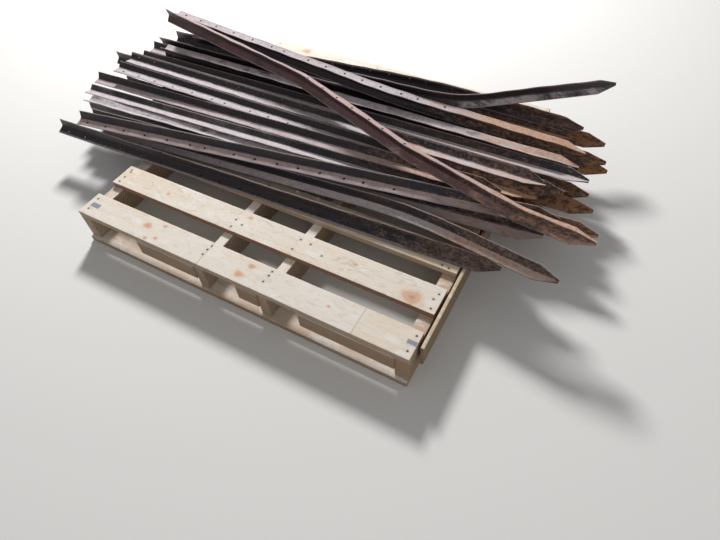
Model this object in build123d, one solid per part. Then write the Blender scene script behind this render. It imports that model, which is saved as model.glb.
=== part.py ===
from build123d import *
import math
import os
import numpy as np

# A softwood pallet with a loose pile of used steel star posts.
# X runs along the deck boards and the posts, Y points away from the front edge, Z is up.
# The origin is on the floor under the middle of the pallet.

# Driving sizes of the pallet
pallet_length = 1165.0
pallet_depth = 1140.0
deck_thickness = 19.0
bearer_height = 90.0
lead_thickness = 19.0
board_width = 90.0
deck_count = 8
end_bearer_width = 40.0
mid_bearer_width = 32.0
mid_bearer_left = 485.0
mid_bearer_right = 452.0
lead_proud = 10.0
edge_board_height = 55.0
edge_board_thickness = 19.0
edge_board_proud = 4.0
side_board_thickness = 10.0
side_board_height = 80.0
side_board_start = 45.0
side_board_sprung = 0.5

# Driving sizes of the star posts
short_length = 1650.0
long_length = 1800.0
stem_reach = 31.0
wing_reach = 27.0
flange_root = 4.2
flange_edge = 2.8
point_length = 60.0
point_reach = 6.0
hole_diameter = 5.5
hole_out = 17.0
hole_sides = 6
first_hole = 40.0
hole_steps = [80.0, 80.0, 89.0, 93.0, 92.0, 57.0, 112.0, 77.0, 80.0, 73.0, 75.0, 80.0, 62.0, 97.0]
buried_holes = 4
buried_posts = ["post_low_05", "post_low_08", "post_low_10", "post_middle_01", "post_middle_04", "post_middle_08"]
round_holed_post = "post_bent_front"
tight_bend = 300.0
long_bend = 1500.0
rest_gap = 0.6

# How finely the resting places are worked out
station_step = 5.0
roll_swing = 12
slide = 8
nudges = [6, 3]

deck_underside = lead_thickness + bearer_height
deck_top = deck_underside + deck_thickness
left_side = -pallet_length / 2
front_side = -pallet_depth / 2
board_pitch = (pallet_depth - board_width) / (deck_count - 1)


def save(solid, name):
    export_step(solid, os.path.join("parts", name + ".step"))


def block(x_low, x_high, y_low, y_high, z_low, z_high):
    # A sawn piece from its limits, with X and Y measured from the pallet's front left corner
    size = (x_high - x_low, y_high - y_low, z_high - z_low)
    middle = (left_side + (x_low + x_high) / 2, front_side + (y_low + y_high) / 2, (z_low + z_high) / 2)
    return Location(middle) * Box(*size)


# Pallet timber

def deck_board_limits():
    starts = [index * board_pitch for index in range(deck_count)]
    return [(start, start + board_width) for start in starts]


def bearer_limits():
    # The middle bearers are set out from the pallet's two ends
    middles = [end_bearer_width / 2, mid_bearer_left]
    middles += [pallet_length - mid_bearer_right, pallet_length - end_bearer_width / 2]
    widths = [end_bearer_width, mid_bearer_width, mid_bearer_width, end_bearer_width]
    return [(middle - width / 2, middle + width / 2) for middle, width in zip(middles, widths)]


def make_deck():
    for index, (near, far) in enumerate(deck_board_limits()):
        save(block(0, pallet_length, near, far, deck_underside, deck_top), f"deck_board_{index + 1}")


def make_bearers():
    for index, (low, high) in enumerate(bearer_limits()):
        save(block(low, high, 0, pallet_depth, lead_thickness, deck_underside), f"bearer_{index + 1}")


def make_lead_boards():
    middle = (pallet_depth - board_width) / 2
    for name, near in [("front", -lead_proud), ("middle", middle), ("back", pallet_depth - board_width)]:
        save(block(0, pallet_length, near, near + board_width, 0, lead_thickness), f"lead_board_{name}")


def make_edge_boards():
    # Short boards on edge between the bearers, just under the deck's front edge
    bearers = bearer_limits()
    near = -edge_board_proud
    far = near + edge_board_thickness
    bottom = deck_underside - edge_board_height
    bays = [("left", bearers[1][0], 224.0), ("middle", bearers[2][0], 73.0), ("right", bearers[3][0], 290.0)]
    for name, end, length in bays:
        save(block(end - length, end, near, far, bottom, deck_underside), f"edge_board_{name}")


def make_side_board():
    # The plank nailed along the right bearer, sprung open at its front end
    length = pallet_depth - side_board_start
    hinge = Location((left_side + pallet_length, front_side + pallet_depth, 0), (0, 0, 1), side_board_sprung)
    plank = Box(side_board_thickness, length, side_board_height, align=(Align.MIN, Align.MAX, Align.MAX))
    save(hinge * Location((0, 0, deck_top)) * plank, "side_board")


# Star post section: the holed stem points along +U, and the two wings stand at 120 degrees to it

flanges = [(0, stem_reach), (120, wing_reach), (240, wing_reach)]


def section_corners():
    corners = []
    inner = flange_root / 2 / math.sin(math.radians(60))
    for angle, reach in flanges:
        turn = math.radians(angle)
        for half in (-flange_edge / 2, flange_edge / 2):
            across = reach * math.cos(turn) - half * math.sin(turn)
            up = reach * math.sin(turn) + half * math.cos(turn)
            corners.append((across, up))
        between = turn + math.radians(60)
        corners.append((inner * math.cos(between), inner * math.sin(between)))
    return corners


# How the pile settles: each post is lowered straight down onto the timber and posts below it

stations = np.arange(-1300.0, 1300.0, station_step)


def timber_outlines():
    # Sections of the deck boards and bearers across every station that they reach
    outlines = []
    for near, far in deck_board_limits():
        across = front_side + np.array([near, far, far, near])
        height = np.array([deck_underside, deck_underside, deck_top, deck_top])
        outlines.append(outline_over(left_side, left_side + pallet_length, across, height))
    for low, high in bearer_limits():
        across = front_side + np.array([0, pallet_depth, pallet_depth, 0])
        height = np.array([lead_thickness, lead_thickness, deck_underside, deck_underside])
        outlines.append(outline_over(left_side + low, left_side + high, across, height))
    right_side = left_side + pallet_length
    across = front_side + np.array([side_board_start, pallet_depth, pallet_depth, side_board_start])
    height = np.array([0, 0, deck_top, deck_top])
    outlines.append(outline_over(right_side, right_side + 2 * side_board_thickness, across, height))
    return outlines


def outline_over(x_low, x_high, across, height):
    reached = (stations >= x_low - station_step) & (stations <= x_high + station_step)
    ys = np.where(reached[:, None], across[None, :], np.nan)
    zs = np.where(reached[:, None], height[None, :], np.nan)
    return ys, zs


def post_outline(route, roll):
    # Corners of the rolled section at every station, with the middle line at height zero
    points = [route @ share for share in np.linspace(0, 1, 400)]
    x = np.array([point.X for point in points])
    y = np.array([point.Y for point in points])
    middle = np.interp(stations, x, y)
    slope = np.gradient(y, x)
    stretch = np.sqrt(1 + np.interp(stations, x, slope) ** 2)
    reached = (stations >= x[0] - station_step) & (stations <= x[-1] + station_step)
    turn = math.radians(roll)
    corners = np.array(section_corners())
    across = corners[:, 0] * math.cos(turn) - corners[:, 1] * math.sin(turn)
    up = corners[:, 0] * math.sin(turn) + corners[:, 1] * math.cos(turn)
    ys = middle[:, None] + across[None, :] * stretch[:, None]
    zs = np.repeat(up[None, :], len(stations), axis=0)
    ys = np.where(reached[:, None], ys, np.nan)
    zs = np.where(reached[:, None], zs, np.nan)
    return ys, zs


def corner_lift(ys, zs, other_ys, other_zs, sign):
    # How far the corners on one outline must move to clear the edges of the other one
    start_y = other_ys[:, None, :]
    start_z = other_zs[:, None, :]
    end_y = np.roll(other_ys, -1, axis=1)[:, None, :]
    end_z = np.roll(other_zs, -1, axis=1)[:, None, :]
    corner_y = ys[:, :, None]
    run = end_y - start_y
    within = (corner_y >= np.minimum(start_y, end_y)) & (corner_y <= np.maximum(start_y, end_y))
    within &= np.abs(run) > 1e-6
    share = (corner_y - start_y) / np.where(np.abs(run) > 1e-6, run, 1.0)
    edge_z = start_z + share * (end_z - start_z)
    lift = np.where(within, sign * (edge_z - zs[:, :, None]), -np.inf)
    return lift.max(axis=(1, 2))


def needed_height(outline, below):
    # Lowest height of the middle line at every station that clears what lies below
    ys, zs = outline
    needed = np.full(len(stations), -np.inf)
    for other_ys, other_zs in below:
        if np.nanmin(ys) > np.nanmax(other_ys) or np.nanmax(ys) < np.nanmin(other_ys):
            continue
        needed = np.maximum(needed, corner_lift(ys, zs, other_ys, other_zs, 1))
        needed = np.maximum(needed, corner_lift(other_ys, other_zs, ys, zs, -1))
    return needed


def resting_line(needed, balance):
    # Height and slope at the balance point of the straight line that rests on the needed heights
    touched = np.isfinite(needed)
    x = stations[touched] - balance
    z = needed[touched]
    left = x <= 0
    right = x > 0
    slopes = (z[right][None, :] - z[left][:, None]) / (x[right][None, :] - x[left][:, None])
    heights = z[left][:, None] - slopes * x[left][:, None]
    best = np.unravel_index(np.argmax(heights), heights.shape)
    return heights[best], slopes[best]


def settle(lay_route, roll, below):
    # The post rolls and slides a little, in turn at its roll, head and tip, while that lets it sink
    state = [0.0, 0.0, roll]
    best = rest(lay_route, state, below)
    for reach in nudges:
        for part in (2, 0, 1):
            for step in (-reach, reach):
                while True:
                    trial = list(state)
                    trial[part] += step
                    if abs(trial[part] - (roll if part == 2 else 0)) > (roll_swing if part == 2 else slide):
                        break
                    found = rest(lay_route, trial, below)
                    if found[0] > best[0] - 0.01:
                        break
                    state = trial
                    best = found
    height, slope, balance = best
    height += rest_gap
    route = lay_route(state[0], state[1])
    outline_y, outline_z = post_outline(route, state[2])
    below.append((outline_y, outline_z + (height + slope * (stations - balance))[:, None]))
    return route, state[2], height, slope, balance


def rest(lay_route, state, below):
    head_slide, tip_slide, roll = state
    route = lay_route(head_slide, tip_slide)
    balance = (route @ 0.5).X
    height, slope = resting_line(needed_height(post_outline(route, roll), below), balance)
    return height, slope, balance


# Star posts

def along(route, share, roll):
    # The section's own plane part way along the route, with X along the stem
    return Plane(origin=route @ share, x_dir=(0, 1, 0), z_dir=route % share) * Rot(0, 0, roll)


def make_post_body(route, roll):
    # The section is carried along the route, and each flange is then sheared off slantwise to the point
    section = make_face(Polyline(*section_corners(), close=True))
    body = sweep(along(route, 0, roll) * section, path=route)
    for angle, reach in flanges:
        slope = point_length / (reach - point_reach)
        past = reach + flange_root
        corners = [(point_reach, 0), (past, -slope * (past - point_reach)), (past, past), (point_reach, past)]
        lying = along(route, 1, roll + angle) * Rot(90, 0, 0)
        body -= extrude(lying * make_face(Polyline(*corners, close=True)), flange_root, both=True)
    return body


def make_holes(route, roll, count, round_holes):
    # Holes through the stem, set out from the square head
    cutters = []
    for index in range(count):
        share = (first_hole + sum(hole_steps[:index])) / route.length
        through = along(route, share, roll) * Location((hole_out, 0, 0), (1, 0, 0), 90)
        if round_holes:
            cutters.append(through * Cylinder(hole_diameter / 2, flange_root * 2))
        else:
            outline = RegularPolygon(hole_diameter / 2, hole_sides, major_radius=False)
            cutters.append(extrude(through * outline, flange_root, both=True))
    return cutters


def bent_route(length, head_x, head_y, runs, radius):
    # Straight runs from the head, each with its share of the length and its angle to X, with bends between
    points = [Vector(left_side + head_x, front_side + head_y, 0)]
    for share, angle in runs:
        points.append(points[-1] + Vector(length * share, 0, 0).rotate(Axis.Z, angle))
    return FilletPolyline(*points, radius=radius) if len(runs) > 1 else Line(*points)


def lay_post(name, length, head_x, head_y, runs, roll, below, radius=long_bend):
    # Places are measured from the pallet's front left corner; the roll is the stem's angle from level
    def lay_route(head_slide, tip_slide):
        swing = math.degrees((tip_slide - head_slide) / length)
        swung = [(share, angle + swing) for share, angle in runs]
        return bent_route(length, head_x, head_y + head_slide, swung, radius)

    route, rolled, height, slope, balance = settle(lay_route, roll, below)
    count = buried_holes if name in buried_posts else len(hole_steps) + 1
    post = make_post_body(route, rolled) - make_holes(route, rolled, count, name == round_holed_post)
    tilt = -math.degrees(math.atan(slope))
    save(Location((balance, 0, height)) * Rot(0, tilt, 0) * Location((-balance, 0, 0)) * post, name)


def lay_straight_posts(kind, posts, below):
    for number, (length, head_x, head_y, angle, roll) in posts.items():
        lay_post(f"post_{kind}_{number:02d}", length, head_x, head_y, [(1, angle)], roll, below)


def lay_low_posts(below):
    # Posts straight on the deck, front to back: length, X and Y of the head, angle to X, roll
    front = {1: (short_length, -380, 292, 2.5, 210)}
    lay_straight_posts("low", front, below)
    lay_post("post_low_02", short_length, -225, 338, [(0.72, 3.5), (0.28, -8.5)], 330, below)
    behind = {
        3: (short_length, -310, 370, 4.0, 210),
        4: (short_length, -181, 550, 1.2, 210),
        5: (short_length, -352, 600, 1.0, 90),
        6: (short_length, -217, 651, 0.6, 330),
        7: (long_length, -395, 713, 0.5, 210),
        8: (short_length, -400, 775, 0.7, 330),
        9: (long_length, -371, 831, 1.0, 210),
        10: (short_length, -330, 898, 0.9, 210),
        11: (long_length, -407, 957, 1.3, 90),
    }
    lay_straight_posts("low", behind, below)


def lay_middle_posts(below):
    # Posts turned over into the valleys of the low ones, and across them
    valleys = {
        1: (short_length, -345, 928, 1.1, 270),
        2: (short_length, -383, 432, 2.8, 270),
        3: (short_length, -430, 472, 2.2, 270),
        4: (short_length, -300, 682, 0.6, 270),
        5: (short_length, -466, 550, 0.1, 300),
        6: (short_length, -372, 593, 0.7, 180),
        7: (long_length, -460, 684, -0.9, 330),
        8: (short_length, -310, 865, 1.0, 270),
        9: (short_length, -400, 806, -1.1, 300),
    }
    lay_straight_posts("middle", valleys, below)
    lay_post("post_middle_10", short_length, -331, 908, [(0.68, 4.7), (0.32, -3.0)], 120, below)


def lay_upper_posts(below):
    top = {
        1: (short_length, -277, 316, 7.1, 180),
        2: (short_length, -362, 650, -0.6, 60),
        3: (long_length, -408, 743, -0.9, 180),
        4: (short_length, -300, 776, -1.0, 270),
        5: (long_length, -384, 858, -0.3, 120),
    }
    lay_straight_posts("upper", top, below)
    lay_post("post_bent_back", short_length, -212, 870, [(0.685, 0.4), (0.315, 33.5)], 0, below, tight_bend)
    lay_post("post_upper_06", short_length, -295, 893, [(0.61, -3.9), (0.39, 1.1)], 0, below)


def lay_crossing_post(below):
    # The reddish post thrown across all the others
    runs = [(0.39, -10.4), (0.29, -19.5), (0.21, -13.3), (0.11, -3.0)]
    lay_post("post_bent_front", long_length, -281, 850, runs, 0, below, tight_bend)


def make_parts():
    os.makedirs("parts", exist_ok=True)
    make_deck()
    make_bearers()
    make_lead_boards()
    make_edge_boards()
    make_side_board()
    below = timber_outlines()
    lay_low_posts(below)
    lay_middle_posts(below)
    lay_upper_posts(below)
    lay_crossing_post(below)


make_parts()
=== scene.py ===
import bpy
import math
import numpy as np
from mathutils import Matrix, Vector


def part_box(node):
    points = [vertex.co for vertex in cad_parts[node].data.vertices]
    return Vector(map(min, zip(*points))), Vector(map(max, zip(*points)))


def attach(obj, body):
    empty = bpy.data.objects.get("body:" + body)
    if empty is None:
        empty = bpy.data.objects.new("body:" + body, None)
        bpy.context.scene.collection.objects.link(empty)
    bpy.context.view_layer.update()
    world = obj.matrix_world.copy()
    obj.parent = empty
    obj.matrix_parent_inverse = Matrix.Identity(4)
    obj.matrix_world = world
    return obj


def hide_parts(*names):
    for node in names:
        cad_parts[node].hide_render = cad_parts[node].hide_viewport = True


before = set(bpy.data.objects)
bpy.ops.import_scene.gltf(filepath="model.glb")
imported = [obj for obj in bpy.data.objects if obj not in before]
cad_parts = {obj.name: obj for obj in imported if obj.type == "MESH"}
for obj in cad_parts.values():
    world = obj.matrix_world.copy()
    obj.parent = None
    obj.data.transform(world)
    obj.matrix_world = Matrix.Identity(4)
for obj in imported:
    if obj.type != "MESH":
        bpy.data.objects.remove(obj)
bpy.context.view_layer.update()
print("frame loaded:", len(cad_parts), "solids")

# camera, at the photo's viewing angle
view = {
    "place": (0.8345, -1.1520, 1.2920),
    "right": (0.8740, 0.4832, -0.0510),
    "up": (-0.3523, 0.7025, 0.6183),
    "back": (0.3346, -0.5225, 0.7843),
    "lens": 26.55,
}


def setOut(name, data):
    thing = bpy.data.objects.new(name, data)
    bpy.context.scene.collection.objects.link(thing)
    return thing


def placeCamera(look):
    data = bpy.data.cameras.new("camera")
    data.lens = look["lens"]
    data.sensor_width = 36
    camera = setOut("camera", data)
    axes = Matrix((look["right"], look["up"], look["back"])).transposed()
    camera.matrix_world = Matrix.Translation(look["place"]) @ axes.to_4x4()
    bpy.context.scene.camera = camera


placeCamera(view)
print("camera placed")

# pale floor and soft light
studio = {
    "floorSize": 12.0,
    "floorColour": (0.78, 0.77, 0.75, 1),
    "floorRough": 0.9,
    "worldColour": (1, 1, 1, 1),
    "worldStrength": 0.27,
    "aim": (0, 0, 0.1),
    "lamps": [
        # name, place, size, power
        ("keyLamp", (-1.9, 2.7, 3.1), 0.8, 235),
        ("fillLamp", (2.4, -2.6, 2.4), 2.4, 14),
    ],
}


def layFloor(look):
    half = look["floorSize"] / 2
    mesh = bpy.data.meshes.new("floor")
    corners = [(-half, -half, 0), (half, -half, 0), (half, half, 0), (-half, half, 0)]
    mesh.from_pydata(corners, [], [(0, 1, 2, 3)])
    floor = setOut("floor", mesh)
    paint = bpy.data.materials.new("floorPaint")
    paint.use_nodes = True
    shader = paint.node_tree.nodes["Principled BSDF"]
    shader.inputs["Base Color"].default_value = look["floorColour"]
    shader.inputs["Roughness"].default_value = look["floorRough"]
    mesh.materials.append(paint)


def hangLamps(look):
    world = bpy.data.worlds.new("studio")
    world.use_nodes = True
    world.node_tree.nodes["Background"].inputs["Color"].default_value = look["worldColour"]
    world.node_tree.nodes["Background"].inputs["Strength"].default_value = look["worldStrength"]
    bpy.context.scene.world = world
    for name, place, size, power in look["lamps"]:
        data = bpy.data.lights.new(name, "AREA")
        data.shape = "DISK"
        data.size = size
        data.energy = power
        lamp = setOut(name, data)
        lamp.location = place
        lamp.rotation_euler = (Vector(look["aim"]) - Vector(place)).to_track_quat("-Z", "Y").to_euler()


layFloor(studio)
hangLamps(studio)
print("floor and lamps set")


# material helpers

def newPaint(name):
    paint = bpy.data.materials.new(name)
    paint.use_nodes = True
    return paint, paint.node_tree, paint.node_tree.nodes["Principled BSDF"]


def put(tree, kind, links, **values):
    # one node: links are (input, what feeds it or its number) pairs, values are the node's settings
    node = tree.nodes.new("ShaderNode" + kind)
    for key, value in values.items():
        setattr(node, key, value)
    for socket, source in links:
        if hasattr(source, "is_linked"):
            tree.links.new(source, node.inputs[socket])
        else:
            node.inputs[socket].default_value = source
    return node


def sums(tree, operation, first, second=0.0):
    return put(tree, "Math", [(0, first), (1, second)], operation=operation).outputs[0]


def plus(tree, first, second):
    return sums(tree, "ADD", first, second)


def times(tree, first, second):
    return sums(tree, "MULTIPLY", first, second)


def flip(tree, value):
    return sums(tree, "SUBTRACT", 1.0, value)


def swing(tree, noise, amount):
    # noise about zero: (noise - 0.5) * amount
    return times(tree, sums(tree, "SUBTRACT", noise, 0.5), amount)


def steps(tree, factor, low, high):
    # 0 below low, 1 above high, smooth between
    node = put(tree, "MapRange", [("Value", factor), ("From Min", low), ("From Max", high)],
        interpolation_type="SMOOTHSTEP")
    return node.outputs[0]


def blendColour(tree, factor, first, second):
    # the sockets 6, 7 and 2 are the mix node's two colours and its result
    return put(tree, "Mix", [(0, factor), (6, first), (7, second)], data_type="RGBA").outputs[2]


def tint(tree, colour, mask, share, over):
    # the colour over laid on where the mask is, at a share of its strength
    return blendColour(tree, times(tree, mask, share), colour, over)


def cloud(tree, where, scale, stretch=(1, 1, 1), detail=4.0, rough=0.55, warp=0.0):
    # noise on the object's own coordinates, drawn out by stretch
    spread = put(tree, "Mapping", [("Vector", where), ("Scale", stretch)])
    noise = put(tree, "TexNoise", [("Vector", spread.outputs[0]), ("Scale", scale), ("Detail", detail),
        ("Roughness", rough), ("Distortion", warp)])
    return noise.outputs[0]


def bands(tree, where, way, scale, warp, detail, fine):
    # wavy stripes that follow one another in the direction way
    links = [("Vector", where), ("Scale", scale), ("Distortion", warp), ("Detail", detail),
        ("Detail Scale", fine)]
    return put(tree, "TexWave", links, wave_type="BANDS", bands_direction=way).outputs["Fac"]


def attribute(tree, name):
    return put(tree, "Attribute", [], attribute_name=name).outputs["Fac"]


def bumpOf(tree, height, strength, distance, under=None):
    links = [("Height", height), ("Strength", strength), ("Distance", distance)]
    if under is not None:
        links.append(("Normal", under))
    return put(tree, "Bump", links).outputs[0]


# worn black coated steel of the posts, with painted light: faces turned to the light side are painted paler
steel = {
    "coat": (0.015, 0.015, 0.024, 1),
    "coatBrown": (0.046, 0.027, 0.024, 1),
    "halfLitDustDark": (0.052, 0.044, 0.048, 1),
    "halfLitDustPale": (0.185, 0.165, 0.172, 1),
    "litWorn": (0.53, 0.49, 0.515, 1),
    "litWornPink": (0.56, 0.41, 0.40, 1),
    "edge": (0.36, 0.29, 0.29, 1),
    "rustShade": (0.080, 0.047, 0.036, 1),
    "rustShadePale": (0.215, 0.145, 0.125, 1),
    "rustLit": (0.43, 0.235, 0.145, 1),
    "rustPale": (0.56, 0.42, 0.36, 1),
    "rustBright": (0.60, 0.27, 0.07, 1),
    "redCoat": (0.060, 0.026, 0.025, 1),
    "redHalfLitDust": (0.230, 0.115, 0.105, 1),
    "redLitWorn": (0.52, 0.31, 0.29, 1),
    "fleck": (0.60, 0.55, 0.54, 1),
    "holeShade": (0.012, 0.010, 0.011, 1),
    "rimReach": (0.0034, 0.0052),
    "lightSide": (-0.19, 0.29, 0.94),  # the side the light comes from: faces turned to it are painted lit as well as worn
}


def mixSteel(look, holes, holeOut):
    # faces turned to the light side are painted pale, as lit and worn, those half turned to it get a painted
    # half light over dust, and the rest keep the dark coat, which also stands for their shade
    paint, tree, shader = newPaint("wornCoatedSteelPaintedLight")
    where = put(tree, "TexCoord", []).outputs["Object"]
    normal = put(tree, "NewGeometry", []).outputs["True Normal"]
    toLight = [(0, normal), (1, look["lightSide"])]
    facing = put(tree, "VectorMath", toLight, operation="DOT_PRODUCT").outputs["Value"]
    edge, rust, tone, red, pale = (attribute(tree, name) for name in ("edge", "rust", "tone", "red", "pale"))
    long = cloud(tree, where, 14, (0.25, 1, 1), 6, 0.65)
    patches = cloud(tree, where, 60, (0.4, 1, 1), 5, 0.6, 0.4)
    speckle = cloud(tree, where, 170, (0.7, 1, 1), 5, 0.72)
    blotch = cloud(tree, where, 95, (0.55, 1, 1), 4, 0.65)
    grit = cloud(tree, where, 430, (0.8, 1, 1), 3, 0.7)
    # painted light: each face's turn to the light side, shifted by the post's pale value, picks lit, half-lit
    # or dark
    turned = plus(tree, plus(tree, facing, pale), swing(tree, patches, 0.30))
    bright = steps(tree, turned, 0.74, 0.85)
    dustyHalfLit = steps(tree, turned, 0.50, 0.66)
    coat = blendColour(tree, steps(tree, long, 0.38, 0.66), look["coat"], look["coatBrown"])
    coat = tint(tree, coat, red, 0.8, look["redCoat"])
    halfLitDust = blendColour(tree, steps(tree, speckle, 0.38, 0.66), look["halfLitDustDark"], look["halfLitDustPale"])
    halfLitDust = tint(tree, halfLitDust, red, 0.75, look["redHalfLitDust"])
    pinker = plus(tree, tone, swing(tree, patches, 1.4))
    litWorn = blendColour(tree, steps(tree, pinker, 0.25, 0.95), look["litWorn"], look["litWornPink"])
    litWorn = tint(tree, litWorn, red, 0.8, look["redLitWorn"])
    litWorn = tint(tree, litWorn, steps(tree, speckle, 0.49, 0.62), 0.46, look["rustShadePale"])
    litWorn = tint(tree, litWorn, steps(tree, blotch, 0.48, 0.60), 0.45, look["edge"])
    colour = tint(tree, coat, dustyHalfLit, 0.85, halfLitDust)
    colour = blendColour(tree, bright, colour, litWorn)
    rubbed = steps(tree, plus(tree, edge, swing(tree, speckle, 1.1)), 0.42, 0.85)
    colour = tint(tree, colour, rubbed, 0.8, look["edge"])
    rusty = plus(tree, rust, swing(tree, speckle, 0.9))
    rusty = plus(tree, rusty, swing(tree, long, 0.7))
    rusty = plus(tree, rusty, swing(tree, patches, 1.1))
    rusted = steps(tree, rusty, 0.30, 0.62)
    mottled = plus(tree, times(tree, speckle, 0.6), times(tree, blotch, 0.4))
    # painted light and shade: the rust takes a shaded copy on dark faces and a lit copy on faces turned to
    # the light side
    inShade = blendColour(tree, steps(tree, mottled, 0.45, 0.555), look["rustShade"], look["rustShadePale"])
    inLight = blendColour(tree, steps(tree, mottled, 0.46, 0.545), look["rustLit"], look["rustPale"])
    scale = blendColour(tree, bright, inShade, inLight)
    # the bright orange is laid more strongly on painted-lit faces
    vivid = steps(tree, plus(tree, rust, swing(tree, blotch, 2.2)), 0.72, 1.00)
    scale = tint(tree, scale, vivid, plus(tree, 0.45, times(tree, bright, 0.45)), look["rustBright"])
    colour = tint(tree, colour, rusted, 0.88, scale)
    fleck = steps(tree, cloud(tree, where, 260, (0.7, 1, 1), 2, 0.5), 0.70, 0.76)
    colour = tint(tree, colour, fleck, 0.5, look["fleck"])
    fromHead, outStem = attribute(tree, "fromHead"), attribute(tree, "outStem")
    nearest = 1.0
    for spot in holes:
        away = sums(tree, "ABSOLUTE", sums(tree, "SUBTRACT", fromHead, spot))
        nearest = sums(tree, "MINIMUM", nearest, away)
    rise = sums(tree, "SUBTRACT", outStem, holeOut)
    reach = sums(tree, "SQRT", plus(tree, times(tree, nearest, nearest), times(tree, rise, rise)))
    # painted shade: a near-black ring round each tie hole, so the hole reads dark
    holeShade = flip(tree, steps(tree, reach, *look["rimReach"]))
    colour = tint(tree, colour, holeShade, 0.93, look["holeShade"])
    tree.links.new(colour, shader.inputs["Base Color"])
    gloss = put(tree, "MapRange", [("Value", sums(tree, "MAXIMUM", rusted, dustyHalfLit)), ("To Min", 0.44),
        ("To Max", 0.78)]).outputs[0]
    tree.links.new(gloss, shader.inputs["Roughness"])
    pits = bumpOf(tree, grit, 0.30, 0.0004)
    pits = bumpOf(tree, speckle, 0.40, 0.0009, pits)
    tree.links.new(pits, shader.inputs["Normal"])
    return paint


# star posts, carried along each post's own line
post = {
    "stemReach": 0.031,
    "wingReach": 0.027,
    "rootThick": 0.0042,
    "edgeThick": 0.0028,
    "pointLength": 0.060,
    "pointReach": 0.006,
    "holeRadius": 0.00275,
    "holeOut": 0.017,
    "holeSides": 14,
    "punchHalf": 0.008,
    "headSwell": 0.035,
    "swellRun": 0.004,
    "waveRates": (9.0, 23.0, 61.0),
    # places of the profile's corners: shares of a flange's reach, then (share, share of the half thickness)
    "shares": [0.13, 0.24, 0.42, 0.62, 0.82, 0.955],
    "edgeRound": [(0.988, -0.72), (1.0, -0.25), (1.0, 0.25), (0.988, 0.72)],
    "rootSwell": 1.10,
    "headRings": [0.0015, 0.005],
    "pointRings": [0.75, 0.5, 0.25, 0.08, 0],
    # a solid's head is found from edges this long that start this near it and run this parallel,
    # and from the corners this near its end
    "longEdge": 0.2,
    "nearHead": 0.03,
    "parallel": 2e-9,
    "cornerReach": 0.0002,
    # where rust starts and over what share of the length it grows, its most and its least
    "rustFrom": (0.50, 0.62),
    "rustRun": 0.36,
    "rustMost": (0.55, 0.95),
    "rustLeast": 0.06,
    "toneMost": 0.8,
    "usualLightShift": 0.02,
    "edgeFrom": 0.55,
    "edgeRun": 0.45,
    "rimEnd": 0.03,
    "farFromRim": -0.05,
    "sharp": 28,
    "seed": 40,
    "firstHole": 0.040,
    "holeSteps": [0.080, 0.080, 0.089, 0.093, 0.092, 0.057, 0.112, 0.077, 0.080, 0.073, 0.075, 0.080, 0.062,
        0.097],
    "buriedHoles": 4,
    "buried": ["post_low_05", "post_low_08", "post_low_10", "post_middle_01", "post_middle_04",
        "post_middle_08"],
    "station": 0.022,
    "dent": 0.0007,
    # rust at the point, pinkness and painted-light shift (pale) of single posts; the rest draw theirs by lot
    "rust": {
        "post_low_01": 0.50, "post_low_02": 0.52, "post_low_03": 0.42, "post_bent_back": 0.10,
        "post_bent_front": 0.62, "post_upper_01": 0.45, "post_upper_02": 0.45, "post_upper_03": 0.30,
        "post_upper_04": 0.55, "post_upper_05": 0.75, "post_upper_06": 0.70, "post_middle_10": 0.45,
        "post_middle_02": 0.40, "post_middle_03": 0.40, "post_low_07": 0.85, "post_low_09": 0.95,
        "post_low_11": 0.95, "post_low_10": 0.8, "post_low_04": 0.7, "post_middle_09": 0.9,
    },
    "tone": {
        "post_low_03": 0.75, "post_middle_02": 0.15, "post_middle_03": 0.35, "post_middle_05": 0.60,
        "post_middle_06": 0.10, "post_upper_03": 0.05, "post_upper_05": 0.65, "post_upper_06": 0.10,
        "post_upper_01": 0.85, "post_low_02": 0.55, "post_bent_front": 0.80, "post_upper_02": 0.30,
        "post_bent_back": 0.05,
    },
    # pale shifts how much of a post is painted lit: below zero more of it is left in painted shade
    "pale": {"post_low_01": -0.28, "post_low_02": 0.12, "post_low_03": 0.30, "post_bent_front": 0.24,
        "post_bent_back": 0.02},
    # how much more of the tail is painted lit, and the shares of the length where that starts and is full
    "litTail": {"post_bent_back": (0.42, 0.66, 0.69), "post_low_02": (0.04, 0.66, 0.69),
        "post_bent_front": (0.18, 0.45, 0.90)},
}
post["holes"] = post["firstHole"] + np.concatenate([[0], np.cumsum(post["holeSteps"])])
steelPaint = mixSteel(steel, post["holes"].tolist(), post["holeOut"])
print("steel mixed")

# bent posts: length, runs as (share of length, angle), bend radius
bends = {
    "post_low_02": (1.65, [(0.72, 3.5), (0.28, -8.5)], 1.5),
    "post_middle_10": (1.65, [(0.68, 4.7), (0.32, -3.0)], 1.5),
    "post_bent_back": (1.65, [(0.685, 0.4), (0.315, 33.5)], 0.3),
    "post_upper_06": (1.65, [(0.61, -3.9), (0.39, 1.1)], 1.5),
    "post_bent_front": (1.80, [(0.39, -10.4), (0.29, -19.5), (0.21, -13.3), (0.11, -3.0)], 0.3),
}


def readPoints(mesh):
    points = np.zeros(len(mesh.vertices) * 3)
    mesh.vertices.foreach_get("co", points)
    return points.reshape(-1, 3)


def writeValues(mesh, values):
    for name, value in values.items():
        mesh.attributes.new(name, "FLOAT", "POINT").data.foreach_set("value", value.astype(np.float32))


def sweepFaces(rows, cols):
    # quads between neighbouring rings of a closed section, with a cap at each end
    index = np.arange(rows * cols).reshape(rows, cols)
    nextCol = np.roll(index, -1, axis=1)
    quads = np.stack([index[:-1], nextCol[:-1], nextCol[1:], index[1:]], axis=-1).reshape(-1, 4)
    return quads.tolist() + [index[0][::-1].tolist(), index[-1].tolist()]


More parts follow.
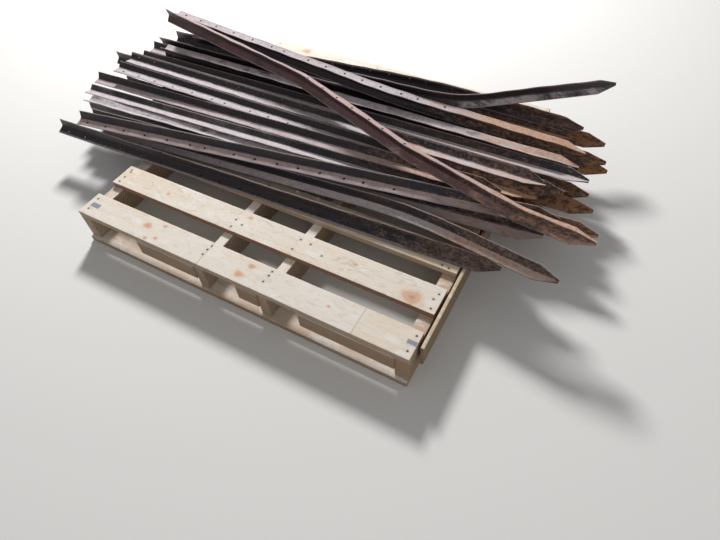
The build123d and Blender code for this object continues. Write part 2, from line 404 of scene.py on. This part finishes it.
def readHead(node):
    # head corners of the solid: the most shared direction of the long edges at the head is the post's line
    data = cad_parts[node].data
    points = readPoints(data)
    pairs = np.zeros(len(data.edges) * 2, int)
    data.edges.foreach_get("vertices", pairs)
    pairs = pairs.reshape(-1, 2)
    runs = points[pairs[:, 1]] - points[pairs[:, 0]]
    runs *= np.sign(runs[:, :1]) + (runs[:, :1] == 0)
    starts = np.minimum(points[pairs[:, 0], 0], points[pairs[:, 1], 0])
    lengths = np.linalg.norm(runs, axis=1)
    long = (lengths > post["longEdge"]) & (starts < points[:, 0].min() + post["nearHead"])
    ways = runs[long] / lengths[long, None]
    alike = (ways @ ways.T > 1 - post["parallel"]).sum(axis=1)
    line = ways[np.argmax(alike)]
    reach = points @ line
    corners = points[reach < reach.min() + post["cornerReach"]]
    middle = corners.mean(axis=0)
    core = np.unique(np.round(corners, 6), axis=0)
    rank = np.argsort(np.linalg.norm(core - middle, axis=1))
    root = core[rank[:3]].mean(axis=0)
    far = core[np.argsort(-np.linalg.norm(core - root, axis=1))[:2]].mean(axis=0)
    stem = far - root
    stem -= line * (stem @ line)
    return root, line, stem / np.linalg.norm(stem), reach.max() - reach.min()


def followLine(node, along):
    # places, directions and stem directions at the distances along:
    # the heading turns evenly through each bend
    root, line, stem, length = readHead(node)
    heading = np.zeros_like(along)
    if node in bends:
        length, runs, radius = bends[node]
        corner = 0.0
        saved = 0.0
        for (share, angle), (_, after) in zip(runs[:-1], runs[1:]):
            corner += share * length
            turn = math.radians(after - angle)
            tangent = radius * math.tan(abs(turn) / 2)
            arc = radius * abs(turn)
            heading += turn * np.clip((along - (corner - tangent - saved)) / arc, 0, 1)
            saved += 2 * tangent - arc
    flatAngle = math.asin(line[1])
    tilt = -math.asin(line[2] / math.cos(flatAngle))
    up = np.array([math.sin(tilt), 0, math.cos(tilt)])
    side = np.cross(up, line)
    ways = np.cos(heading)[:, None] * line + np.sin(heading)[:, None] * side
    hops = np.diff(along)[:, None] * (ways[1:] + ways[:-1]) / 2
    places = root + np.vstack([np.zeros(3), np.cumsum(hops, axis=0)])
    stemUp = stem @ up
    stemSide = stem @ side
    stems = stemUp * up + stemSide * (np.cos(heading)[:, None] * side - np.sin(heading)[:, None] * line)
    return places, ways, stems


def lineLength(node):
    # the bends' arcs cut each corner by twice the tangent less the arc
    if node not in bends:
        return readHead(node)[3]
    length, runs, radius = bends[node]
    turns = np.radians(np.diff([angle for _, angle in runs]))
    return length - float((2 * radius * np.tan(np.abs(turns) / 2) - radius * np.abs(turns)).sum())


def starProfile(look):
    # closed loop round the three flanges: flange number, share of its reach, offset from its middle plane;
    # the offset falls in a straight line from the root to the rounded edge
    half = look["edgeThick"] / 2
    root = look["rootThick"] / 2
    shares = np.array(look["shares"])
    offsets = root + (half - root) * shares
    offsets[0] *= look["rootSwell"]
    loop = []
    for flange in range(3):
        loop += [(flange, share, -offset) for share, offset in zip(shares, offsets)]
        loop += [(flange, share, half * offset) for share, offset in look["edgeRound"]]
        loop += [(flange, share, offset) for share, offset in zip(shares[::-1], offsets[::-1])]
    return np.array(loop)


def cutHoles(piece, places, ways, stems, along, look, spots):
    # tie holes through the stem: each punch is a many-sided prism round the hole's middle
    ring = np.linspace(0, 2 * np.pi, look["holeSides"], endpoint=False)
    verts = []
    faces = []
    for spot in spots:
        at = np.array([np.interp(spot, along, places[:, axis]) for axis in range(3)])
        station = np.searchsorted(along, spot)
        way = ways[station]
        stem = stems[station]
        through = np.cross(way, stem)
        spokes = np.cos(ring)[:, None] * way + np.sin(ring)[:, None] * stem
        circle = at + look["holeOut"] * stem + look["holeRadius"] * spokes
        base = len(verts)
        deep = look["punchHalf"] * through
        verts += (circle - deep).tolist() + (circle + deep).tolist()
        n = len(ring)
        faces.append([base + i for i in reversed(range(n))])
        faces.append([base + n + i for i in range(n)])
        faces += [[base + i, base + (i + 1) % n, base + n + (i + 1) % n, base + n + i] for i in range(n)]
    mesh = bpy.data.meshes.new("punch")
    mesh.from_pydata(verts, [], faces)
    punch = setOut("punch", mesh)
    cut = piece.modifiers.new("tieHoles", "BOOLEAN")
    cut.object = punch
    cut.operation = "DIFFERENCE"
    cut.solver = "EXACT"
    bpy.context.view_layer.update()
    done = bpy.data.meshes.new_from_object(piece.evaluated_get(bpy.context.evaluated_depsgraph_get()))
    piece.modifiers.clear()
    piece.data = done
    bpy.data.objects.remove(punch)


def rollPost(node, look, seed):
    # the star profile carried along the post's line:
    # each flange's reach shrinks in a straight slope to the point, and it sways by
    # dent * the sum of three sines along the post * the square of the share of its reach
    luck = np.random.default_rng(seed)
    length = lineLength(node)
    along = np.unique(np.concatenate([
        np.linspace(0, length - look["pointLength"], int(length / look["station"])),
        look["headRings"],
        length - look["pointLength"] * np.array(look["pointRings"]),
    ]))
    places, ways, stems = followLine(node, along)
    others = np.cross(ways, stems)
    loop = starProfile(look)
    flange = loop[:, 0].astype(int)
    full = np.array([look["stemReach"], look["wingReach"], look["wingReach"]])[flange]
    slope = (full[None, :] - look["pointReach"]) / look["pointLength"]
    reach = np.minimum(full[None, :], look["pointReach"] + (length - along)[:, None] * slope)
    out = loop[None, :, 1] * reach
    swell = 1 + look["headSwell"] * np.exp(-along / look["swellRun"])[:, None]
    phases = luck.uniform(0, 2 * np.pi, (3, 3))
    waves = sum(
        np.sin(along[:, None] * rate + phase[None, :]) for rate, phase in zip(look["waveRates"], phases))
    sway = look["dent"] * waves[:, flange] * loop[None, :, 1] ** 2
    across = loop[None, :, 2] * swell + sway
    angle = np.radians(120.0) * flange
    u = out * np.cos(angle) - across * np.sin(angle)
    v = out * np.sin(angle) + across * np.cos(angle)
    grid = places[:, None, :] + u[:, :, None] * stems[:, None, :] + v[:, :, None] * others[:, None, :]
    rows, cols = u.shape
    faces = sweepFaces(rows, cols)
    mesh = bpy.data.meshes.new(node + "_steel")
    mesh.from_pydata(grid.reshape(-1, 3).tolist(), [], faces)
    piece = setOut(node + "_steel", mesh)
    count = look["buriedHoles"] if node in look["buried"] else len(look["holeSteps"]) + 1
    spots = look["holes"][:count]
    cutHoles(piece, places, ways, stems, along, look, spots)
    rubPost(piece, places, ways, stems, along, length, look, luck, node, spots)
    return piece


def rubPost(piece, places, ways, stems, along, length, look, luck, node, spots):
    # edge grows with the distance from the post's line, rust grows towards the point
    mesh = piece.data
    points = readPoints(mesh)
    nearest = np.argmin(((points[:, None, :] - places[None, :, :]) ** 2).sum(axis=2), axis=1)
    gap = points - places[nearest]
    forward = (gap * ways[nearest]).sum(axis=1)
    spot = along[nearest] + forward
    radius = np.sqrt(np.maximum((gap ** 2).sum(axis=1) - forward ** 2, 0))
    up = (gap * stems[nearest]).sum(axis=1)
    # beyond the last hole there are no dark rims
    up[spot > spots[-1] + look["rimEnd"]] = look["farFromRim"]
    share = np.clip((spot / length - luck.uniform(*look["rustFrom"])) / look["rustRun"], 0, 1)
    most = look["rust"].get(node, luck.uniform(*look["rustMost"]))
    tailLightShift, tailStart, tailFull = look["litTail"].get(node, (0, 0, 1))
    inTail = np.clip((spot / length - tailStart) / (tailFull - tailStart), 0, 1)
    values = {
        "edge": np.clip((radius / look["wingReach"] - look["edgeFrom"]) / look["edgeRun"], 0, 1) ** 2,
        "rust": look["rustLeast"] + most * share ** 2 * (3 - 2 * share),
        "tone": np.full(len(points), look["tone"].get(node, luck.uniform(0, look["toneMost"]))),
        # painted light: shifts each face's turn to the light side, so more or less of the post reads as lit
        "pale": look["pale"].get(node, look["usualLightShift"]) + tailLightShift * inTail,
        "red": np.full(len(points), 1.0 if node == "post_bent_front" else 0.0),
        "fromHead": spot,
        "outStem": up,
    }
    writeValues(mesh, values)
    mesh.shade_smooth()
    mesh.set_sharp_from_angle(angle=math.radians(look["sharp"]))
    mesh.materials.clear()
    mesh.materials.append(steelPaint)


def rollAllPosts(look):
    names = sorted(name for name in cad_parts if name.startswith("post_"))
    for seed, node in enumerate(names):
        piece = rollPost(node, look, look["seed"] + seed)
        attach(piece, "root")
        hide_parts(node)
    print("posts rolled:", len(names))


rollAllPosts(post)

# sawn pine of the pallet; places on it are in millimetres from the deck's left end and front edge
timber = {
    # how far the deck's left end and front edge lie from the middle, and the height above which
    # a place is on the deck's top
    "corner": np.array([0.5825, 0.570]),
    "topFrom": 0.127,
    "eased": 0.0012,
    "endRing": 0.0004,
    # a seam: the rings beside it, its depth, and how near a ring lies to be cut in
    "seamBeside": 0.0009,
    "seamDeep": 0.0007,
    "seamNear": 0.0003,
    "chipReach": 0.0025,
    "chipFrom": 0.25,
    "chipRates": (210, 87, 39),
    # knots: their stretch along the board, their lobes, how strongly the grain bends round them,
    # and the value of a place without a knot
    "knotLong": 1.35,
    "knotLobes": 0.10,
    "knotBend": 1.6,
    "noKnot": 9.0,
    # how far the stain round a nail reaches, in millimetres
    "nailStain": 4.0,
    # warmth of the stretches between the seams, against the board's own
    "stretchWarms": [0.0, -0.12, 0.25, 0],
    "sharp": 42,
    "seed": 300,
    "spacing": 0.006,
    "fineSpacing": 0.003,
    "chip": 0.026,
    "sideSprung": 0.5,
    "sideThick": 0.010,
    "knots": {
        # along, across, radius
        "deck_board_1": [(251, 53, 11), (304, 74, 6), (278, 10, 6), (309, 23, 6), (638, 66, 9), (620, 27, 11),
            (905, 48, 4)],
        "deck_board_2": [(1089, 175, 21), (522, 221, 6), (212, 190, 5), (900, 205, 5)],
        "deck_board_3": [(420, 340, 8), (850, 318, 7), (1020, 362, 6)],
        "deck_board_8": [(158, 1113, 15), (640, 1090, 9)],
    },
    "seams": {"deck_board_1": [485, 998]},
    "nails": [
        (485, 76), (481, 59), (480, 39), (702, 77), (701, 61), (699, 37), (1152, 72), (18, 70), (22, 24),
        (1150, 22), (484, 195), (487, 165), (514, 185), (709, 215), (745, 212), (706, 173), (797, 189),
        (1150, 216), (1143, 195), (1149, 164), (18, 224), (22, 215), (21, 187), (20, 164), (1117, 312),
        (1138, 309), (711, 314), (18, 322), (21, 368), (484, 318), (487, 366), (716, 370), (1148, 366),
    ],
    "hiddenRows": [(450, 540), (600, 690), (750, 840), (900, 990), (1050, 1140)],
    "patches": [(35, 44, 18, 9), (1150, 48.5, 14, 6.5)],
    "tones": {
        # warmth and grey of each board
        "deck_board_1": (0.28, 0.15), "deck_board_2": (0.42, 0.35), "deck_board_3": (0.95, 0.12),
        "deck_board_4": (0.6, 0.3), "deck_board_8": (0.45, 0.30), "side_board": (1.10, 0.50),
        "bearer_1": (0.60, 0.25), "bearer_4": (1.15, 0.60), "bearer_2": (0.10, 0.10),
        "bearer_3": (0.10, 0.10),
    },
    # redness of the colour laid on the sawn sides, and its strength: partly their own colour, partly painted
    # shade
    "flanks": {
        "deck_board_1": (0.15, 0.70), "deck_board_2": (0.95, 0.85), "deck_board_3": (0.05, 0.30),
        "side_board": (0.10, 0.88), "edge_board_left": (0.45, 0.75), "edge_board_middle": (0.50, 0.75),
        "edge_board_right": (0.45, 0.75), "lead_board_front": (0.60, 0.70),
    },
}

pine = {
    "pale": (0.78, 0.715, 0.64, 1),
    "warm": (0.75, 0.61, 0.45, 1),
    "ring": (0.60, 0.45, 0.30, 1),
    "cloud": (0.52, 0.46, 0.385, 1),
    "bleach": (0.82, 0.785, 0.745, 1),
    "knot": (0.64, 0.33, 0.20, 1),
    "knotHeart": (0.30, 0.13, 0.07, 1),
    "stain": (0.13, 0.10, 0.085, 1),
    "patch": (0.17, 0.22, 0.30, 1),
    "flankYellow": (0.40, 0.29, 0.155, 1),
    "flankRed": (0.33, 0.135, 0.075, 1),
    "sawMark": (0.20, 0.12, 0.07, 1),
}


def mixPine(name, look, rough):
    # growth rings drawn out along the board and bent round its knots, under a bleached, stained face
    paint, tree, shader = newPaint(name)
    where = put(tree, "Attribute", [], attribute_name="grainPlace").outputs["Vector"]
    place = put(tree, "TexCoord", []).outputs["Object"]
    words = ("warm", "grey", "knot", "nail", "patch", "seam", "flankTone", "flankShade")
    warm, grey, knot, nail, patch, seam, flankTone, flankShade = (attribute(tree, word) for word in words)
    broad = cloud(tree, where, 1, (1.6, 34, 34), 3, 0.5, 0.6)
    drawnOut = put(tree, "Mapping", [("Vector", where), ("Scale", (2.2, 60, 60))]).outputs[0]
    rings = bands(tree, drawnOut, "Y", 1.0, 7.0, 2.5, 0.8)
    fibre = cloud(tree, where, 1, (14, 520, 520), 4, 0.6)
    mist = cloud(tree, where, 1, (22, 60, 60), 5, 0.62, 1.6)
    milk = cloud(tree, place, 1, (10, 22, 22), 4, 0.6, 1.0)
    dirt = cloud(tree, place, 30, (1, 1, 1), 6, 0.7)
    warmth = steps(tree, plus(tree, warm, swing(tree, broad, 1.6)), 0.1, 1.0)
    colour = blendColour(tree, warmth, look["pale"], look["warm"])
    colour = tint(tree, colour, steps(tree, rings, 0.55, 1.0), 0.20, look["ring"])
    colour = tint(tree, colour, steps(tree, milk, 0.48, 0.66), 0.60, look["bleach"])
    colour = tint(tree, colour, steps(tree, mist, 0.50, 0.68), plus(tree, 0.22, grey), look["cloud"])
    colour = tint(tree, colour, steps(tree, fibre, 0.55, 0.80), 0.22, look["ring"])
    halo = flip(tree, steps(tree, knot, 0.75, 2.4))
    colour = tint(tree, colour, halo, 0.38, look["warm"])
    around = flip(tree, steps(tree, knot, 0.70, 1.20))
    colour = tint(tree, colour, around, 0.68, look["knot"])
    hoop = steps(tree, sums(tree, "SINE", times(tree, knot, 22.0)), 0.0, 1.0)
    colour = tint(tree, colour, times(tree, halo, hoop), 0.16, look["knotHeart"])
    heart = flip(tree, steps(tree, knot, 0.10, 0.45))
    colour = tint(tree, colour, heart, 0.40, look["knotHeart"])
    colour = tint(tree, colour, nail, 0.70, look["stain"])
    colour = tint(tree, colour, seam, 0.85, look["stain"])
    colour = tint(tree, colour, patch, 0.85, look["patch"])
    # painted shade: the sides of each board, whose normals lie near level, take the darker flank colour at
    # the flankShade strength, partly the sides' own colour
    normal = put(tree, "NewGeometry", []).outputs["True Normal"]
    side = sums(tree, "ABSOLUTE", put(tree, "SeparateXYZ", [(0, normal)]).outputs["Z"])
    flank = flip(tree, steps(tree, side, 0.45, 0.80))
    flankColour = blendColour(tree, flankTone, look["flankYellow"], look["flankRed"])
    colour = tint(tree, colour, flank, flankShade, flankColour)
    turned = put(tree, "Mapping", [("Vector", place), ("Rotation", (0.0, 0.5, 0.6))])
    teeth = bands(tree, turned.outputs[0], "X", 48.0, 2.2, 2.0, 3.0)
    marks = times(tree, times(tree, steps(tree, teeth, 0.45, 0.95), flank), rough)
    colour = tint(tree, colour, marks, 0.6, look["sawMark"])
    # dark stain in patches, much stronger on the sides, where it adds painted shade
    grimeAndSideShade = steps(tree, dirt, 0.54, 0.78)
    colour = tint(tree, colour, grimeAndSideShade, plus(tree, 0.05, times(tree, flank, 0.45)), look["stain"])
    tree.links.new(colour, shader.inputs["Base Color"])
    shader.inputs["Roughness"].default_value = 0.82
    shader.inputs["Specular IOR Level"].default_value = 0.3
    relief = bumpOf(tree, fibre, 0.35, 0.0006)
    relief = bumpOf(tree, rings, 0.15, 0.0008, relief)
    relief = bumpOf(tree, marks, 0.5, 0.0008, relief)
    tree.links.new(relief, shader.inputs["Normal"])
    return paint


woodPaints = {
    "deck_pine": mixPine("deckPine", pine, 0.85),
    # the side pine's darker flank colour adds painted shade on the faces of the edge and side boards
    "side_pine": mixPine("sidePine", {**pine, "warm": (0.60, 0.47, 0.31, 1),
        "flankYellow": (0.25, 0.19, 0.11, 1)}, 0.8),
    "bearer_pine": mixPine("bearerPine", {**pine, "warm": (0.56, 0.41, 0.30, 1),
        "flankRed": (0.27, 0.145, 0.085, 1)}, 0.9),
}
print("pine mixed")


def easedLoop(width, thick, eased, spacing):
    # closed section: a rectangle whose four corners are quarter circles of the eased radius
    halfWidth = width / 2 - eased
    halfThick = thick / 2 - eased
    across = np.linspace(-halfWidth, halfWidth, max(3, int(width / spacing) + 1))[:-1]
    upward = np.linspace(-halfThick, halfThick, max(3, int(thick / spacing) + 1))[:-1]
    turn = np.radians([-90, -60, -30, 0])[:-1]
    bottom = np.stack([across, np.full_like(across, -halfThick - eased)], 1)
    right = np.stack([np.full_like(upward, halfWidth + eased), upward], 1)
    corners = []
    places = [(halfWidth, -halfThick), (halfWidth, halfThick), (-halfWidth, halfThick),
        (-halfWidth, -halfThick)]
    for number, (x, y) in enumerate(places):
        angles = turn + number * math.pi / 2
        corners.append(np.stack([x + eased * np.cos(angles), y + eased * np.sin(angles)], 1))
    return np.vstack([bottom, corners[0], right, corners[1], -bottom, corners[2], -right, corners[3]])


def sawBoard(node, slot, look, spacing, seed):
    # the eased section carried along the longest side of the node's box;
    # at both ends it draws in along a quarter circle of the eased radius
    luck = np.random.default_rng(seed)
    low, high = (np.array(corner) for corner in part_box(node))
    if node == "side_board":
        high[0] = low[0] + look["sideThick"]
    size = high - low
    order = [0, 1, 2] if size[0] > size[1] else [1, 2, 0]
    length, width, thick = size[order]
    middle = (low + high)[order] / 2
    along = np.linspace(0, length, int(length / spacing) + 1)
    eased = look["eased"]
    seams = [spot / 1000 for spot in look["seams"].get(node, [])]
    ends = [look["endRing"], eased, length - eased, length - look["endRing"]]
    beside = look["seamBeside"]
    besideSeams = [[spot - beside, spot, spot + beside] for spot in seams]
    along = np.unique(np.concatenate([along, ends] + besideSeams))
    loop = easedLoop(width, thick, eased, spacing)
    rows, cols = len(along), len(loop)
    fromEnd = np.minimum(along, length - along)
    inset = eased - np.sqrt(np.maximum(eased ** 2 - (eased - np.minimum(fromEnd, eased)) ** 2, 0))
    groove = np.zeros(rows)
    for spot in seams:
        groove[np.abs(along - spot) < look["seamNear"]] = 1
    inset = inset + look["seamDeep"] * groove
    shrink = np.stack([1 - 2 * inset / width, 1 - 2 * inset / thick], 1)
    section = loop[None, :, :] * shrink[:, None, :]
    a = np.repeat(along[:, None], cols, axis=1)
    # chips: where a product of three sines along the board passes chipFrom, fading away from the corners
    quick, slow, slowest = look["chipRates"]
    early, late = luck.uniform(0, 6), luck.uniform(0, 6)
    bites = np.sin(a * quick + early) * np.sin(a * slow + late) * np.sin(a * slowest)
    chips = np.maximum(0, bites - look["chipFrom"])
    toCorner = (np.abs(loop[:, 0]) - width / 2) ** 2 + (np.abs(loop[:, 1]) - thick / 2) ** 2
    nearEdge = np.exp(-toCorner / look["chipReach"] ** 2)
    section = section * (1 - look["chip"] * chips * nearEdge[None, :])[:, :, None]
    local = np.stack([a - length / 2, section[:, :, 0], section[:, :, 1]], axis=-1) + middle
    points = np.empty_like(local)
    points[:, :, order] = local
    faces = sweepFaces(rows, cols)
    flat = points.reshape(-1, 3)
    if node == "side_board":
        lean = math.tan(math.radians(look["sideSprung"]))
        flat[:, 0] += (high[1] - flat[:, 1]) * lean
    mesh = bpy.data.meshes.new(node + "_sawn")
    mesh.from_pydata(flat.tolist(), [], faces)
    markBoard(mesh, node, flat, local.reshape(-1, 3), groove.repeat(cols), seams, low, look, luck)
    mesh.shade_smooth()
    mesh.set_sharp_from_angle(angle=math.radians(look["sharp"]))
    mesh.materials.append(woodPaints[slot])
    piece = setOut(node + "_sawn", mesh)
    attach(piece, "root")
    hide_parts(node)


def markBoard(mesh, node, flat, local, groove, seams, low, look, luck):
    # the grain flows round each knot as water round a pile:
    # across * (1 - knotBend * radius squared / distance squared), never below 0
    x = (flat[:, 0] + look["corner"][0]) * 1000
    y = (flat[:, 1] + look["corner"][1]) * 1000
    grain = local.copy()
    knot = np.full(len(flat), look["noKnot"])
    for kx, ky, radius in look["knots"].get(node, []):
        lobes = 1 + look["knotLobes"] * np.sin(3 * np.arctan2(y - ky, x - kx) + kx)
        away = np.hypot((x - kx) / look["knotLong"], y - ky) * lobes
        knot = np.minimum(knot, away / radius)
        bend = np.minimum(radius ** 2 * look["knotBend"] / np.maximum(away, 1) ** 2, 1)
        grain[:, 1] -= (y - ky) / 1000 * bend
    pieceNumber = np.zeros(len(flat), int)
    if seams:
        pieceNumber = np.searchsorted(np.array(seams), local[:, 0] - low[0])
    grain += luck.uniform(-3, 3, (4, 3))[pieceNumber]
    warm, grey = look["tones"].get(node, (luck.uniform(0.3, 0.7), luck.uniform(0.1, 0.5)))
    flankTone, flankShade = look["flanks"].get(node, (luck.uniform(0.4, 0.9), luck.uniform(0.6, 0.85)))
    warms = warm + np.array(look["stretchWarms"])[pieceNumber]
    nails = np.array(look["nails"], float)
    nearNail = np.min(np.hypot(x[:, None] - nails[None, :, 0], y[:, None] - nails[None, :, 1]), axis=1)
    top = flat[:, 2] > look["topFrom"]
    patch = np.zeros(len(flat))
    for px, py, halfLong, halfWide in look["patches"]:
        inside = np.minimum(halfLong - np.abs(x - px), halfWide - np.abs(y - py))
        patch = np.maximum(patch, np.clip(inside / 2 + 0.5, 0, 1))
    values = {
        "warm": warms,
        "grey": np.full(len(flat), grey),
        "knot": knot,
        "nail": np.exp(-(nearNail / look["nailStain"]) ** 2) * top * node.startswith("deck"),
        "patch": patch * top * (node == "deck_board_1"),
        "seam": groove,
        "flankTone": np.full(len(flat), flankTone),
        "flankShade": np.full(len(flat), flankShade),
    }
    writeValues(mesh, values)
    flow = mesh.attributes.new("grainPlace", "FLOAT_VECTOR", "POINT")
    flow.data.foreach_set("vector", grain.astype(np.float32).ravel())


def sawAllBoards(look):
    fine = ("deck_board_1", "deck_board_2")
    slots = {"deck": "deck_pine", "bear": "bearer_pine", "lead": "bearer_pine", "edge": "side_pine",
        "side": "side_pine"}
    names = sorted(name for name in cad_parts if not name.startswith("post_"))
    for seed, node in enumerate(names):
        spacing = look["fineSpacing"] if node in fine else look["spacing"]
        sawBoard(node, slots[node[:4]], look, spacing, look["seed"] + seed)
    print("boards sawn:", len(names))


sawAllBoards(timber)

# nail heads, just proud of the deck
nail = {
    "radius": 0.0031,
    "proud": 0.0005,
    "sunk": 0.0004,
    "astray": 6,
    "seed": 77,
    "sides": 10,
    "colour": (0.035, 0.030, 0.030, 1),
    "rusty": (0.16, 0.075, 0.045, 1),
    "rows": (19, 485, 713, 1146),
    "fromEdge": 24,
}


def driveNails(look, board):
    # a low dome on each spot: height is proud * (1 - half the square of the share of the radius)
    luck = np.random.default_rng(look["seed"])
    spots = list(board["nails"])
    astray = look["astray"]
    for near, far in board["hiddenRows"]:
        spots += [(x + luck.uniform(-astray, astray), y + luck.uniform(-astray, astray))
                  for x in look["rows"] for y in (near + look["fromEdge"], far - look["fromEdge"])]
    spots = np.array(spots) / 1000 - board["corner"]
    turn = np.linspace(0, 2 * np.pi, look["sides"], endpoint=False)
    rings = np.array([0.0, 0.55, 0.9, 1.0]) * look["radius"]
    heights = look["proud"] * (1 - (rings / look["radius"]) ** 2 * 0.5)
    heights[-1] = -look["sunk"]
    dome = [[0, 0, heights[0]]]
    dome += [[r * math.cos(t), r * math.sin(t), h] for r, h in zip(rings[1:], heights[1:]) for t in turn]
    dome = np.array(dome)
    n = look["sides"]
    faces = [[0, 1 + i, 1 + (i + 1) % n] for i in range(n)]
    for ring in range(2):
        base = 1 + ring * n
        faces += [[base + i, base + n + i, base + n + (i + 1) % n, base + (i + 1) % n] for i in range(n)]
    faces.append([1 + 2 * n + i for i in reversed(range(n))])
    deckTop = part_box("deck_board_1")[1][2]
    places = np.column_stack([spots, np.full(len(spots), deckTop)])
    points = (places[:, None, :] + dome[None, :, :]).reshape(-1, 3)
    starts = [number * len(dome) for number in range(len(spots))]
    allFaces = [[corner + start for corner in face] for start in starts for face in faces]
    mesh = bpy.data.meshes.new("nail_heads")
    mesh.from_pydata(points.tolist(), [], allFaces)
    mesh.shade_smooth()
    paint, tree, shader = newPaint("nailSteel")
    where = put(tree, "TexCoord", []).outputs["Object"]
    speck = cloud(tree, where, 900, (1, 1, 1), 3, 0.7)
    colour = blendColour(tree, steps(tree, speck, 0.4, 0.7), look["colour"], look["rusty"])
    tree.links.new(colour, shader.inputs["Base Color"])
    shader.inputs["Metallic"].default_value = 0.4
    shader.inputs["Roughness"].default_value = 0.6
    mesh.materials.append(paint)
    piece = setOut("nail_heads", mesh)
    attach(piece, "root")
    print("nails driven:", len(spots))


driveNails(nail, timber)

bpy.context.scene.view_settings.view_transform = "Standard"
